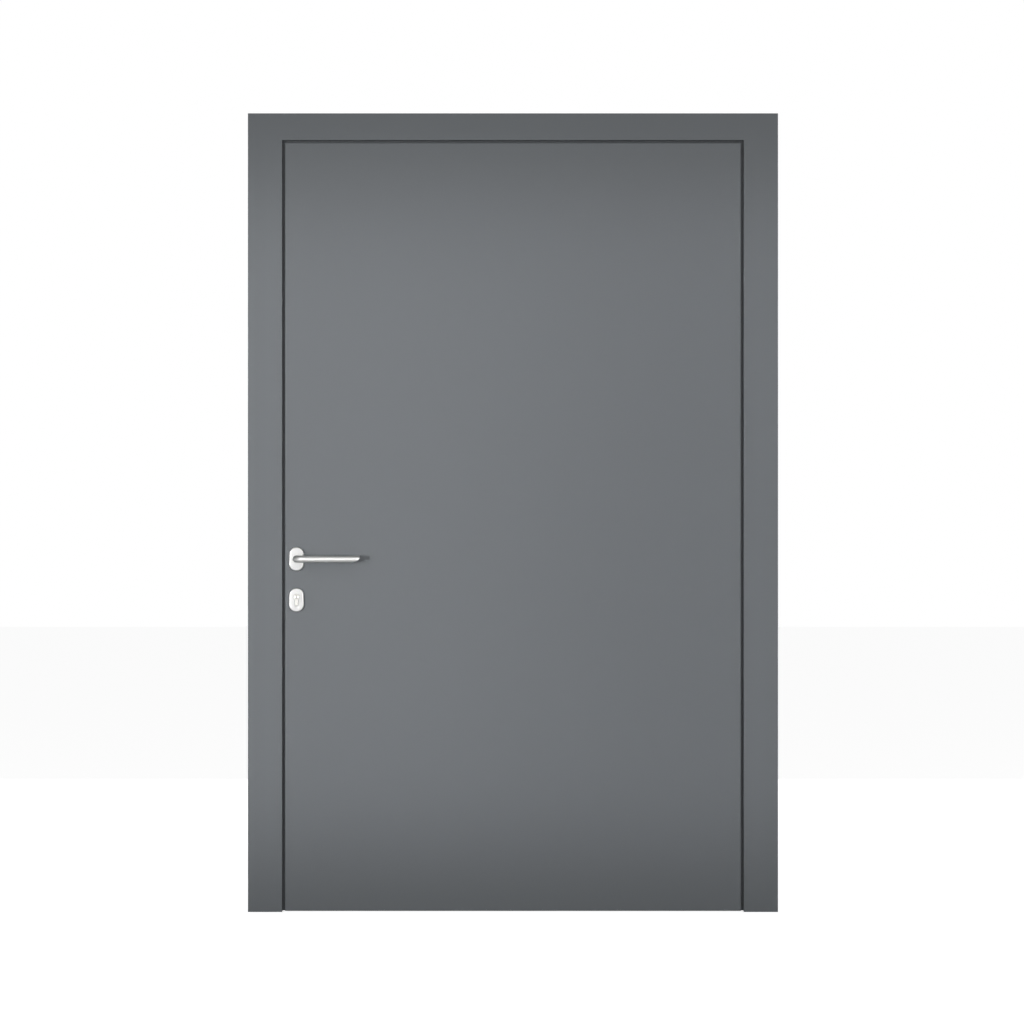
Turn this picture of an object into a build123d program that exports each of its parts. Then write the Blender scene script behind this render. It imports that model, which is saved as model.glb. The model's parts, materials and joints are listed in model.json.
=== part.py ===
from build123d import *
import os

os.makedirs("parts", exist_ok=True)

# An aluminium front door: one leaf, flush with its frame on both faces, that opens inwards.
# X runs along the wall, Y from the outside face (0) to the inside face, and Z up from the floor.
# The origin is the foot of the lock-side jamb, at its wall face and its outside face.

# The frame's outline
overall_width = 1500.0
overall_height = 2260.0
jamb_face = 97.0
head_face = 76.0

# Depths of the aluminium shells and of the polyamide bars that keep them apart
outer_shell_depth = 28.0
bar_depth = 24.0
inner_shell_depth = 23.0
bar_start = outer_shell_depth
inner_shell_start = bar_start + bar_depth
frame_depth = inner_shell_start + inner_shell_depth

# Hollow sections
wall = 2.5
bar_thickness = 3.0
bar_recess = 3.0
edge_round = 1.0

# The stop that the leaf closes against, and the gaps round the leaf
stop_nose = 21.0
stop_depth = 18.0
seam = 8.0
rebate_gap = 6.0
seal_space = 6.0
floor_gap = 3.0

jamb_rebate = jamb_face - stop_nose
head_rebate = head_face - stop_nose

# The leaf's widest outline, behind the stop, and its outside face
leaf_left = jamb_rebate + rebate_gap
leaf_right = overall_width - leaf_left
leaf_top = overall_height - head_rebate - rebate_gap
leaf_bottom = floor_gap
face_left = jamb_face + seam
face_right = overall_width - face_left
face_top = overall_height - head_face - seam
lip = face_left - leaf_left
lip_start = stop_depth + seal_space

# The leaf's sheets, stiles and rails
sheet = 3.0
stile_width = 85.0
bottom_rail_height = 110.0
cavity_left = leaf_left + stile_width
cavity_right = leaf_right - stile_width
cavity_top = leaf_top - stile_width
cavity_bottom = leaf_bottom + bottom_rail_height

# Lever, its plates and its spindle
backset = 56.0
lever_height = 999.0
lever_x = leaf_left + backset
plate_width = 42.0
plate_height = 68.0
plate_corner = 20.0
plate_depth = 9.0
spindle_side = 8.0
spindle_room = 18.0
spindle_grip = 20.0
collar_depth = 5.0
running_clearance = 0.05
lever_gap = 0.4
lever_reach = 180.0
lever_radius = 10.0
elbow_radius = 20.0
grip_standoff = 40.0
tip_length = 28.0
tip_edge = 5.0

# Lock cylinder and its escutcheons
escutcheon_drop = 116.0
cylinder_offset = 8.0
cylinder_radius = 8.5
cylinder_web = 10.0
cylinder_length_down = 24.5
cylinder_proud = 3.0
cylinder_clearance = 0.3
cylinder_room = 2.0
keyway_width = 2.6
keyway_height = 9.0
keyway_depth = 12.0
escutcheon_height = lever_height - escutcheon_drop
cylinder_height = escutcheon_height + cylinder_offset

# Lock faceplate, bolts and strike plate
faceplate_drop = 200.0
faceplate_length = 275.0
faceplate_side_gap = 0.2
bolt_thickness = 14.0
bolt_clearance = 0.3
latch_offset = 24.0
latch_size = 34.0
latch_length = 32.0
latch_proud = 1.0
latch_bevel = 11.0
latch_flat = 2.0
deadbolt_offset = -82.0
deadbolt_size = 38.0
pocket_margin = 2.0
latch_height = lever_height + latch_offset
deadbolt_height = lever_height + deadbolt_offset
bolt_middle = bar_start + bar_depth / 2
faceplate_middle = lever_height - faceplate_drop + faceplate_length / 2

# Hinges
hinge_length = 120.0
hinge_end_distance = 240.0
knuckle_radius = 11.0
knuckle_gap = 0.6
hinge_standoff = 17.0
pin_radius = 5.0
pin_cap = 4.0
hinge_plate_width = 45.0
hinge_plate_depth = 5.0
hinge_plate_clear = 5.0
hinge_plate_corner = 2.0
hinge_root = 6.0
middle_knuckle = 46.0
hinge_x = overall_width - (jamb_rebate + rebate_gap / 2)
hinge_y = frame_depth + hinge_standoff
hinge_heights = [
    leaf_bottom + hinge_end_distance,
    (leaf_bottom + face_top) / 2,
    face_top - hinge_end_distance,
]

# Frame screws through the polyamide bars
fixing_radius = 4.25
fixing_from_floor = 140.0
fixing_from_head = 260.0
fixing_count = 4
fixing_pitch = (overall_height - fixing_from_floor - fixing_from_head) / (fixing_count - 1)
fixing_heights = [fixing_from_floor + step * fixing_pitch for step in range(fixing_count)]

# Seals
groove_width = 4.0
groove_depth = 3.0
gasket_width = 9.0
gasket_clear = 1.0
gasket_shoulder = 0.6
drop_seal_room = 20.0
drop_seal_gap = 0.3
drop_seal_wall = 1.5
drop_seal_lip = 5.0
drop_seal_drop = 2.0
drop_seal_inset = 1.0
drop_seal_foot = 8.0

# Where each straight profile starts, with its first axis across the opening and its second inwards
lock_jamb_start = Plane.XY
hinge_jamb_start = Plane(origin=(overall_width, 0, 0), x_dir=(-1, 0, 0), z_dir=(0, 0, -1))
head_start = Plane(origin=(0, 0, overall_height), x_dir=(0, 0, -1), z_dir=(1, 0, 0))
lock_stile_start = Plane.XY.move(Location((leaf_left, 0, leaf_bottom)))
hinge_stile_start = Plane(
    origin=(leaf_right, 0, leaf_bottom), x_dir=(-1, 0, 0), z_dir=(0, 0, -1)
)
top_rail_start = Plane(origin=(leaf_left, 0, leaf_top), x_dir=(0, 0, -1), z_dir=(1, 0, 0))
bottom_rail_start = Plane(
    origin=(cavity_left, 0, cavity_bottom), x_dir=(0, 0, -1), z_dir=(1, 0, 0)
)


def mitre(corner_x, corner_z, lean):
    """The 45 degree cut through an inner corner, with its upper side above the joint."""
    return Plane(origin=(corner_x, 0, corner_z), x_dir=(0, 1, 0), z_dir=(lean, 0, 1))


frame_lock_mitre = mitre(jamb_face, overall_height - head_face, 1)
frame_hinge_mitre = mitre(overall_width - jamb_face, overall_height - head_face, -1)
leaf_lock_mitre = mitre(cavity_left, cavity_top, 1)
leaf_hinge_mitre = mitre(cavity_right, cavity_top, -1)


def upright(depth):
    """A plane parallel to the door's face at a depth, seen from outside."""
    return Plane.XZ.offset(-depth)


def rectangle(low, high, mode=Mode.ADD):
    """A rectangle in the current sketch between two corners."""
    with Locations(low):
        Rectangle(high[0] - low[0], high[1] - low[1], align=(Align.MIN, Align.MIN), mode=mode)


def stop_outline(face):
    """The outer frame shell with its stop nose, before its chamber is cut."""
    rebate = face - stop_nose
    with BuildSketch() as outline:
        with BuildLine():
            Polyline(
                (0, 0), (face, 0), (face, stop_depth), (rebate, stop_depth),
                (rebate, outer_shell_depth), (0, outer_shell_depth), close=True,
            )
        make_face()
        fillet(outline.vertices().group_by(Axis.X)[-1], edge_round)
    return outline.sketch


def gasket_middle(face):
    """Where the gasket stands across the stop: over the middle of the leaf's lip."""
    return face - (stop_nose - rebate_gap) / 2


def outer_frame_section(face):
    """The outer frame shell: hollow, with a groove for the gasket in the back of its stop."""
    middle = gasket_middle(face)
    boss = groove_width + 2 * wall
    groove_floor = stop_depth - groove_depth
    with BuildSketch() as section:
        add(stop_outline(face))
        offset(amount=-wall, mode=Mode.SUBTRACT)
        rectangle((middle - boss / 2, groove_floor - wall), (middle + boss / 2, stop_depth))
        rectangle(
            (middle - groove_width / 2, groove_floor),
            (middle + groove_width / 2, stop_depth),
            mode=Mode.SUBTRACT,
        )
    return section.sketch


def inner_frame_section(face):
    """The inner frame shell: a plain hollow box that ends at the rebate."""
    with BuildSketch() as section:
        rectangle((0, inner_shell_start), (face - stop_nose, frame_depth))
        fillet(section.vertices().group_by(Axis.X)[-1], edge_round)
        offset(amount=-wall, mode=Mode.SUBTRACT)
    return section.sketch


def frame_bar_section(face):
    """The two polyamide bars, at the wall and in the rebate."""
    rebate_side = face - stop_nose - bar_recess
    with BuildSketch() as section:
        rectangle((0, bar_start), (bar_thickness, inner_shell_start))
        rectangle((rebate_side - bar_thickness, bar_start), (rebate_side, inner_shell_start))
    return section.sketch


def outer_leaf_section():
    """The outer leaf shell, with the lip that closes against the gasket."""
    with BuildSketch() as section:
        with BuildLine():
            Polyline(
                (lip, sheet), (stile_width, sheet), (stile_width, outer_shell_depth),
                (0, outer_shell_depth), (0, lip_start), (lip, lip_start), close=True,
            )
        make_face()
        rectangle(
            (lip + wall, sheet + wall),
            (stile_width - wall, outer_shell_depth - wall),
            mode=Mode.SUBTRACT,
        )
    return section.sketch


def inner_leaf_section():
    """The inner leaf shell: a plain hollow box."""
    with BuildSketch() as section:
        rectangle((0, inner_shell_start), (stile_width, frame_depth - sheet))
        offset(amount=-wall, mode=Mode.SUBTRACT)
    return section.sketch


def rail_section(near, far):
    """A hollow box of the bottom rail between two depths."""
    with BuildSketch() as section:
        rectangle((0, near), (bottom_rail_height, far))
        offset(amount=-wall, mode=Mode.SUBTRACT)
    return section.sketch


def profile(section, start, length, cuts=(), keep=Keep.BOTTOM):
    """A straight profile: its section run out to a length, then cut by its mitres."""
    with BuildPart() as run:
        with BuildSketch(start):
            add(section)
        extrude(amount=length)
        for cut in cuts:
            split(bisect_by=cut, keep=keep)
    return run.part


def save(part, name):
    """Label a finished piece and write its file."""
    part.label = name
    export_step(part, f"parts/{name}.step")


# Frame members: each jamb and the head is an outer shell, a pair of bars and an inner shell
frame_sections = {
    "outer_shell": outer_frame_section,
    "thermal_bars": frame_bar_section,
    "inner_shell": inner_frame_section,
}


def strike_pockets(low_x, high_x, margin):
    """The two holes in the jamb that the latch and the deadbolt shoot into."""
    for height, size in ((latch_height, latch_size), (deadbolt_height, deadbolt_size)):
        with Locations(((low_x + high_x) / 2, bolt_middle, height)):
            Box(
                high_x - low_x,
                bolt_thickness + 2 * margin,
                size + 2 * margin,
                mode=Mode.SUBTRACT,
            )


for part_name, section in frame_sections.items():
    has_bars = part_name == "thermal_bars"
    with BuildPart() as lock_jamb:
        add(profile(section(jamb_face), lock_jamb_start, overall_height, [frame_lock_mitre]))
        if has_bars:
            strike_pockets(jamb_rebate / 2, jamb_rebate, pocket_margin)
            with BuildSketch(Plane.YZ):
                with Locations(*[(bolt_middle, height) for height in fixing_heights]):
                    Circle(fixing_radius)
            extrude(amount=jamb_rebate, mode=Mode.SUBTRACT)
    save(lock_jamb.part, f"frame_lock_jamb_{part_name}")

    with BuildPart() as hinge_jamb:
        add(profile(section(jamb_face), hinge_jamb_start, -overall_height, [frame_hinge_mitre]))
        if has_bars:
            with BuildSketch(Plane.YZ.offset(overall_width)):
                with Locations(*[(bolt_middle, height) for height in fixing_heights]):
                    Circle(fixing_radius)
            extrude(amount=-jamb_rebate, mode=Mode.SUBTRACT)
    save(hinge_jamb.part, f"frame_hinge_jamb_{part_name}")

    with BuildPart() as head:
        add(
            profile(
                section(head_face), head_start, overall_width,
                (frame_lock_mitre, frame_hinge_mitre), Keep.TOP,
            )
        )
    save(head.part, f"frame_head_{part_name}")


# The gasket in the stop, mitred at the corners
def gasket_section(face):
    """A foot in the groove, and a round-shouldered bulb that stops short of the leaf's lip."""
    middle = gasket_middle(face)
    bulb_top = lip_start - gasket_clear
    bulb_height = bulb_top - stop_depth
    with BuildSketch() as section:
        rectangle(
            (middle - groove_width / 2, stop_depth - groove_depth),
            (middle + groove_width / 2, stop_depth),
        )
        with Locations((middle, stop_depth + bulb_height / 2)):
            Rectangle(gasket_width, bulb_height)
        fillet(section.vertices().group_by(Axis.Y)[-1], bulb_height * gasket_shoulder)
    return section.sketch


with BuildPart() as frame_gasket:
    add(profile(gasket_section(jamb_face), lock_jamb_start, overall_height, [frame_lock_mitre]))
    add(profile(gasket_section(jamb_face), hinge_jamb_start, -overall_height, [frame_hinge_mitre]))
    add(
        profile(
            gasket_section(head_face), head_start, overall_width,
            (frame_lock_mitre, frame_hinge_mitre), Keep.TOP,
        )
    )
save(frame_gasket.part, "frame_gasket")


# The leaf's stiles and rails
def lock_cutouts(start_depth, end_depth):
    """Mill room for the spindle and the lock cylinder, hidden later by their plates."""
    side = cylinder_radius + cylinder_room
    with BuildSketch(upright(start_depth)) as holes:
        with Locations((lever_x, lever_height)):
            Rectangle(spindle_room, spindle_room)
        rectangle(
            (lever_x - side, cylinder_height - cylinder_length_down - cylinder_room),
            (lever_x + side, cylinder_height + side),
        )
    extrude(holes.sketch, amount=-(end_depth - start_depth), mode=Mode.SUBTRACT)


leaf_height = leaf_top - leaf_bottom
leaf_width = leaf_right - leaf_left
leaf_sections = {
    "outer_shell": (outer_leaf_section(), sheet, outer_shell_depth),
    "inner_shell": (inner_leaf_section(), inner_shell_start, frame_depth - sheet),
}
for part_name, (section, near, far) in leaf_sections.items():
    with BuildPart() as lock_stile:
        add(profile(section, lock_stile_start, leaf_height, [leaf_lock_mitre]))
        lock_cutouts(near, far)
    save(lock_stile.part, f"leaf_lock_stile_{part_name}")

    with BuildPart() as hinge_stile:
        add(profile(section, hinge_stile_start, -leaf_height, [leaf_hinge_mitre]))
    save(hinge_stile.part, f"leaf_hinge_stile_{part_name}")

    with BuildPart() as top_rail:
        add(
            profile(
                section, top_rail_start, leaf_width,
                (leaf_lock_mitre, leaf_hinge_mitre), Keep.TOP,
            )
        )
    save(top_rail.part, f"leaf_top_rail_{part_name}")

    with BuildPart() as bottom_rail:
        add(profile(rail_section(near, far), bottom_rail_start, cavity_right - cavity_left))
    save(bottom_rail.part, f"leaf_bottom_rail_{part_name}")

bar_bottom = leaf_bottom + drop_seal_room
bar_inside = bar_recess + bar_thickness
with BuildPart() as leaf_bars:
    with BuildSketch(upright(bar_start)):
        rectangle(
            (leaf_left + bar_recess, bar_bottom), (leaf_right - bar_recess, leaf_top - bar_recess)
        )
        rectangle(
            (leaf_left + bar_inside, bar_bottom + bar_thickness),
            (leaf_right - bar_inside, leaf_top - bar_inside),
            mode=Mode.SUBTRACT,
        )
        rectangle(
            (cavity_left - bar_thickness, cavity_bottom - bar_thickness),
            (cavity_right + bar_thickness, cavity_top + bar_thickness),
        )
        rectangle((cavity_left, cavity_bottom), (cavity_right, cavity_top), mode=Mode.SUBTRACT)
    extrude(amount=-bar_depth)
    for height, size in ((latch_height, latch_size), (deadbolt_height, deadbolt_size)):
        with Locations((leaf_left + bar_inside - bar_thickness / 2, bolt_middle, height)):
            Box(
                2 * bar_thickness,
                bolt_thickness + 2 * bolt_clearance,
                size + 2 * bolt_clearance,
                mode=Mode.SUBTRACT,
            )
save(leaf_bars.part, "leaf_thermal_bars")


# The smooth sheets that cover the leaf
with BuildPart() as outer_panel:
    with BuildSketch(upright(0)):
        rectangle((face_left, leaf_bottom), (face_right, face_top))
    extrude(amount=-sheet)
    chamfer(outer_panel.faces().sort_by(Axis.Y)[0].edges(), edge_round)
    lock_cutouts(0, sheet)
save(outer_panel.part, "leaf_outer_panel")

with BuildPart() as inner_panel:
    with BuildSketch(upright(frame_depth - sheet)):
        rectangle((leaf_left, leaf_bottom), (leaf_right, leaf_top))
    extrude(amount=-sheet)
    chamfer(inner_panel.faces().sort_by(Axis.Y)[-1].edges(), edge_round)
    lock_cutouts(frame_depth - sheet, frame_depth)
save(inner_panel.part, "leaf_inner_panel")


# The drop seal under the leaf: a channel open downwards, and the rubber that it holds
seal_start = Plane.YZ.offset(leaf_left + bar_recess)
seal_length = leaf_width - 2 * bar_recess
channel_low = leaf_bottom + drop_seal_inset
channel_high = bar_bottom - drop_seal_gap
channel_outside = bar_start + faceplate_side_gap
channel_inside = inner_shell_start - faceplate_side_gap
rubber_top = channel_high - drop_seal_wall
with BuildPart() as seal_channel:
    with BuildSketch(seal_start):
        rectangle((channel_outside, channel_low), (channel_inside, channel_high))
        rectangle(
            (channel_outside + drop_seal_wall, channel_low),
            (channel_inside - drop_seal_wall, rubber_top),
            mode=Mode.SUBTRACT,
        )
    extrude(amount=seal_length)
save(seal_channel.part, "leaf_seal_channel")

with BuildPart() as bottom_seal:
    with BuildSketch(seal_start):
        rectangle(
            (channel_outside + drop_seal_wall, rubber_top - drop_seal_foot),
            (channel_inside - drop_seal_wall, rubber_top),
        )
        rectangle(
            (bolt_middle - drop_seal_lip / 2, leaf_bottom - drop_seal_drop),
            (bolt_middle + drop_seal_lip / 2, rubber_top - drop_seal_foot),
        )
    extrude(amount=seal_length)
save(bottom_seal.part, "leaf_bottom_seal")


# Faceplate, bolts and strike plate
def edge_plate(back_x, margin):
    """A round-ended plate in the groove between the shells, with its two bolt holes."""
    with BuildPart() as plate:
        with BuildSketch(Plane.YZ.offset(back_x)):
            with Locations((bolt_middle, faceplate_middle)):
                SlotOverall(
                    faceplate_length, bar_depth - 2 * faceplate_side_gap, rotation=90
                )
            for height, size in ((latch_height, latch_size), (deadbolt_height, deadbolt_size)):
                with Locations((bolt_middle, height)):
                    Rectangle(
                        bolt_thickness + 2 * margin, size + 2 * margin, mode=Mode.SUBTRACT
                    )
        extrude(amount=bar_recess)
    return plate.part


save(edge_plate(leaf_left, bolt_clearance), "lock_faceplate")
save(edge_plate(jamb_rebate - bar_recess, pocket_margin), "strike_plate")

bolt_front = leaf_left - latch_proud
with BuildPart() as latch_bolt:
    with BuildSketch(Plane.XY.offset(latch_height - latch_size / 2)):
        with BuildLine():
            Polyline(
                (bolt_front, bolt_middle + bolt_thickness / 2),
                (bolt_front, bolt_middle + bolt_thickness / 2 - latch_flat),
                (bolt_front + latch_bevel, bolt_middle - bolt_thickness / 2),
                (bolt_front + latch_length, bolt_middle - bolt_thickness / 2),
                (bolt_front + latch_length, bolt_middle + bolt_thickness / 2),
                close=True,
            )
        make_face()
    extrude(amount=latch_size)
save(latch_bolt.part, "latch_bolt")

with BuildPart() as deadbolt:
    with BuildSketch(Plane.YZ.offset(bolt_front)):
        with Locations((bolt_middle, deadbolt_height)):
            Rectangle(bolt_thickness, deadbolt_size)
    extrude(amount=latch_length)
    chamfer(deadbolt.edges().group_by(Axis.X)[0], edge_round)
save(deadbolt.part, "deadbolt")


# Plates on both faces
def oval_plate(middle, face_depth, direction):
    """An oval plate that stands on a face of the leaf."""
    with BuildPart() as plate:
        with BuildSketch(upright(face_depth)):
            with Locations((lever_x, middle)):
                RectangleRounded(plate_width, plate_height, plate_corner)
        extrude(amount=direction * plate_depth)
    return plate.part


def cylinder_profile(clearance):
    """The outline of the lock cylinder: a round barrel over a narrow web with a round foot."""
    radius = cylinder_radius + clearance
    half_web = cylinder_web / 2 + clearance
    foot = cylinder_length_down - cylinder_web / 2
    with BuildSketch() as outline:
        with Locations((lever_x, cylinder_height)):
            Circle(radius)
            Rectangle(2 * half_web, foot, align=(Align.CENTER, Align.MAX))
        with Locations((lever_x, cylinder_height - foot)):
            Circle(half_web)
    return outline.sketch


faces = {"outside": (0.0, 1), "inside": (frame_depth, -1)}
for side, (face_depth, direction) in faces.items():
    with BuildPart() as rosette:
        add(oval_plate(lever_height, face_depth, direction))
        with BuildSketch(upright(face_depth)):
            with Locations((lever_x, lever_height)):
                Circle(lever_radius + running_clearance)
        extrude(amount=direction * plate_depth, mode=Mode.SUBTRACT)
    save(rosette.part, f"rosette_{side}")

    with BuildPart() as escutcheon:
        add(oval_plate(escutcheon_height, face_depth, direction))
        with BuildSketch(upright(face_depth)):
            add(cylinder_profile(cylinder_clearance))
        extrude(amount=direction * plate_depth, mode=Mode.SUBTRACT)
    save(escutcheon.part, f"escutcheon_{side}")

# The lock cylinder, proud of both escutcheons, with a keyway at each end
cylinder_start = -plate_depth - cylinder_proud
cylinder_end = frame_depth + plate_depth + cylinder_proud
with BuildPart() as lock_cylinder:
    with BuildSketch(upright(cylinder_start)):
        add(cylinder_profile(0))
    extrude(amount=-(cylinder_end - cylinder_start))
    for depth, direction in ((cylinder_start, -1), (cylinder_end, 1)):
        with BuildSketch(upright(depth)):
            with Locations((lever_x, cylinder_height)):
                Rectangle(keyway_width, keyway_height)
        extrude(amount=direction * keyway_depth, mode=Mode.SUBTRACT)
save(lock_cylinder.part, "lock_cylinder")


# Hinges: the frame part holds the outer knuckles, the leaf part the middle one. The lowest
# knuckle is closed below, and the pin drops in from above until its head rests on the top one.
def hinge_part(middle, side, knuckles, bore):
    """A plate on the door's inside face with knuckles; side is 1 on the frame, -1 on the leaf."""
    plate_near = knuckle_radius + hinge_plate_clear
    plate_far = plate_near + hinge_plate_width
    with BuildPart() as part:
        with BuildSketch(upright(frame_depth)) as plate:
            with Locations((hinge_x + side * (plate_near + plate_far) / 2, middle)):
                Rectangle(hinge_plate_width, hinge_length)
            chamfer(plate.vertices(), hinge_plate_corner)
        extrude(amount=-hinge_plate_depth)
        for low, high in knuckles:
            with BuildSketch(Plane.XY.offset(middle + low)):
                with Locations((hinge_x, hinge_y)):
                    Circle(knuckle_radius)
                near_x = hinge_x + side * plate_near
                far_x = near_x + side * hinge_root
                rectangle(
                    (min(near_x, far_x), frame_depth),
                    (max(near_x, far_x), frame_depth + hinge_plate_depth),
                )
                make_hull()
            extrude(amount=high - low)
        with BuildSketch(Plane.XY.offset(middle - hinge_length / 2)):
            with Locations((hinge_x, hinge_y)):
                Circle(bore)
        extrude(amount=hinge_length, mode=Mode.SUBTRACT)
    return part.part


def hinge_round(radius, low, high):
    """A round bar on the hinges' axis between two heights."""
    with BuildPart() as bar:
        with BuildSketch(Plane.XY.offset(low)):
            with Locations((hinge_x, hinge_y)):
                Circle(radius)
        extrude(amount=high - low)
    return bar.part


half_middle = middle_knuckle / 2
frame_knuckles = (
    (-hinge_length / 2, -half_middle - knuckle_gap),
    (half_middle + knuckle_gap, hinge_length / 2),
)
for number, middle in enumerate(hinge_heights, start=1):
    foot = middle - hinge_length / 2
    top = middle + hinge_length / 2
    with BuildPart() as frame_part:
        add(hinge_part(middle, 1, frame_knuckles, pin_radius))
        add(hinge_round(knuckle_radius, foot - pin_cap, foot))
    save(frame_part.part, f"hinge_{number}_frame_part")
    save(
        hinge_part(middle, -1, ((-half_middle, half_middle),), pin_radius + running_clearance),
        f"hinge_{number}_leaf_part",
    )
    with BuildPart() as hinge_pin:
        add(hinge_round(pin_radius, foot, top))
        add(hinge_round(knuckle_radius, top, top + pin_cap))
    save(hinge_pin.part, f"hinge_{number}_pin")


# The levers and their spindle
neck_start = -plate_depth - lever_gap
grip_middle = -grip_standoff - lever_radius
lever_tip = lever_x + lever_reach


def tip_outline():
    """A shape round the lever, seen from outside, whose foot curves up to cut the tip."""
    foot = lever_height - lever_radius
    low = foot - lever_radius
    high = lever_height + 2 * lever_radius
    back = lever_x - 2 * lever_radius
    edge_foot = lever_height + lever_radius - tip_edge
    curve_start = lever_tip - tip_length
    with BuildSketch(upright(0)) as outline:
        with BuildLine():
            Polyline(
                (curve_start, foot), (curve_start, low), (back, low), (back, high),
                (lever_tip, high), (lever_tip, edge_foot),
            )
            EllipticalCenterArc(
                (curve_start, edge_foot), tip_length, edge_foot - foot,
                start_angle=270, arc_size=90,
            )
        make_face()
    return outline.sketch


with BuildPart() as lever_outside:
    with BuildLine() as route:
        FilletPolyline(
            (lever_x, neck_start, lever_height),
            (lever_x, grip_middle, lever_height),
            (lever_tip, grip_middle, lever_height),
            radius=elbow_radius,
        )
    with BuildSketch(upright(neck_start)):
        with Locations((lever_x, lever_height)):
            Circle(lever_radius)
    sweep(path=route.line)
    extrude(tip_outline(), amount=grip_standoff + 3 * lever_radius, mode=Mode.INTERSECT)
    with BuildSketch(upright(neck_start)):
        with Locations((lever_x, lever_height)):
            Circle(lever_radius)
    extrude(amount=-(collar_depth + lever_gap))
    with BuildSketch(upright(-plate_depth + collar_depth)):
        with Locations((lever_x, lever_height)):
            Rectangle(spindle_side, spindle_side)
    extrude(amount=collar_depth + lever_gap + spindle_grip, mode=Mode.SUBTRACT)
save(lever_outside.part, "lever_outside")

with BuildPart() as lever_inside:
    mirror(lever_outside.part, about=Plane.XZ.offset(-frame_depth / 2))
save(lever_inside.part, "lever_inside")

spindle_end = plate_depth + lever_gap + spindle_grip
with BuildPart() as spindle:
    with BuildSketch(upright(-spindle_end)):
        with Locations((lever_x, lever_height)):
            Rectangle(spindle_side, spindle_side)
    extrude(amount=-(frame_depth + 2 * spindle_end))
save(spindle.part, "spindle")
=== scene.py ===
# %% [markdown]
# # An aluminium front door
# This lesson dresses a packed CAD model in Blender: one wide leaf in a three-sided frame, with a
# lever and a key escutcheon at its left. The CAD nodes already have their true sizes and places,
# so nothing here moves them. We load them first and keep the box that they fill, because the
# dressed door has to stay inside it.

# %% Load the packed frame
import json
from math import atan2, cos, pi, radians, sin, sqrt

import bmesh
import bpy
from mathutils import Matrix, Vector


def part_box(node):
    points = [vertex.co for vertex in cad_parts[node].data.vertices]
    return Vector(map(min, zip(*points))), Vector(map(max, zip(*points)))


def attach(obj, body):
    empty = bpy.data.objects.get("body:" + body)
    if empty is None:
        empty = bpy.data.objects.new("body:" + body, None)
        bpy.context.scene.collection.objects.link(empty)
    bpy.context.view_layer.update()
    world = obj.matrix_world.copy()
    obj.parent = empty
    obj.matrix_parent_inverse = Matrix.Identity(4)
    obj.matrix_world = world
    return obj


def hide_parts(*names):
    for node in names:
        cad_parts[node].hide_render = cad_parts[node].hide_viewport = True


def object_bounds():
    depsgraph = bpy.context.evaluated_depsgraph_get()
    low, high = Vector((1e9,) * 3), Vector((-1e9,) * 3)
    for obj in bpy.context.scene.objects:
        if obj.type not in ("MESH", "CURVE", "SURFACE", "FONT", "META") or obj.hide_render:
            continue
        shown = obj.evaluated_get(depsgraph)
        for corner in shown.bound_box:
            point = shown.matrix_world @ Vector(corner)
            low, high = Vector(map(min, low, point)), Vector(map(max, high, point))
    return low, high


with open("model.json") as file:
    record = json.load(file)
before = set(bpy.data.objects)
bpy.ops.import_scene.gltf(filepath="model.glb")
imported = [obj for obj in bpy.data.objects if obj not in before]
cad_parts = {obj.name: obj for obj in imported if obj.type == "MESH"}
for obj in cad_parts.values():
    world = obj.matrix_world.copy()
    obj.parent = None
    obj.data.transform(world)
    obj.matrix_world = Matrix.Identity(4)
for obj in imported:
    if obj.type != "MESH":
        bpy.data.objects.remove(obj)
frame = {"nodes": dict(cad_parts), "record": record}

cad_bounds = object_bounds()
nodes = frame["nodes"]
scene = bpy.context.scene
print("nodes:", len(nodes), "box:", cad_bounds)

# %% [markdown]
# ## Studio and camera
# The photograph looks straight at the door from far away, so its edges stay parallel. A long lens
# does the same. The door's width in pixels gives the size of one pixel, and the camera stands
# level with the middle of the picture, so it needs no tilt and no shift.

# %% Camera
picture_size = 1024
door_width = cad_bounds[1][0] - cad_bounds[0][0]
picture_door_width = 530.1
pixel = door_width / picture_door_width
picture_left = 247.9
picture_foot = 912.0
focal_length = 150.0
sensor = 36.0


def place_camera():
    """A level camera in front of the door, as far off as the lens needs for the photo's frame."""
    data = bpy.data.cameras.new("camera")
    data.lens = focal_length
    data.sensor_width = sensor
    camera = bpy.data.objects.new("camera", data)
    scene.collection.objects.link(camera)
    middle = picture_size / 2
    distance = picture_size * pixel * focal_length / sensor
    camera.location = (
        (middle - picture_left) * pixel, -distance, (picture_foot - middle) * pixel
    )
    camera.rotation_euler = (radians(90), 0, 0)
    scene.camera = camera
    return camera


camera = place_camera()
print("camera at", [round(v, 3) for v in camera.location])

# %% [markdown]
# ## Writing shader maths
# A material's pattern is arithmetic on coordinates and noise. Wiring each Math node by hand hides
# that arithmetic, so a small class wraps a socket and turns Python's operators into nodes. Any
# other node comes from one method that sets its type, its settings and its sockets.


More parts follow.
